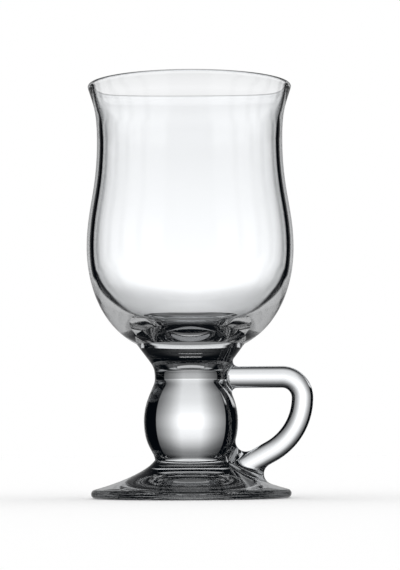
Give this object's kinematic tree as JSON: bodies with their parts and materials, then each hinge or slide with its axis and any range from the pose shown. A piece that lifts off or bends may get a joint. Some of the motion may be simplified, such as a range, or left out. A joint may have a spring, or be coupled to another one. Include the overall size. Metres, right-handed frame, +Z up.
{
  "type": "irish coffee glass mug",
  "caption": "Clear footed glass mug with a tall waisted bowl, a solid neck and ball knop, a flared foot and an ear-shaped rod handle, for hot layered coffee drinks.",
  "frame": {"origin": "on the mug's axis, in the plane of the foot's resting ring", "axes": "+Z up along the mug's axis, +X from the axis towards the handle, +Y to the back"},
  "size_m": [0.0817, 0.075, 0.15],
  "materials": {
    "clear_glass": "clear soda-lime glass, fire-polished, smooth and glossy"
  },
  "bodies": {
    "root": {"bowl": "clear_glass", "stem": "clear_glass", "foot": "clear_glass", "handle": "clear_glass"}
  },
  "joints": []
}
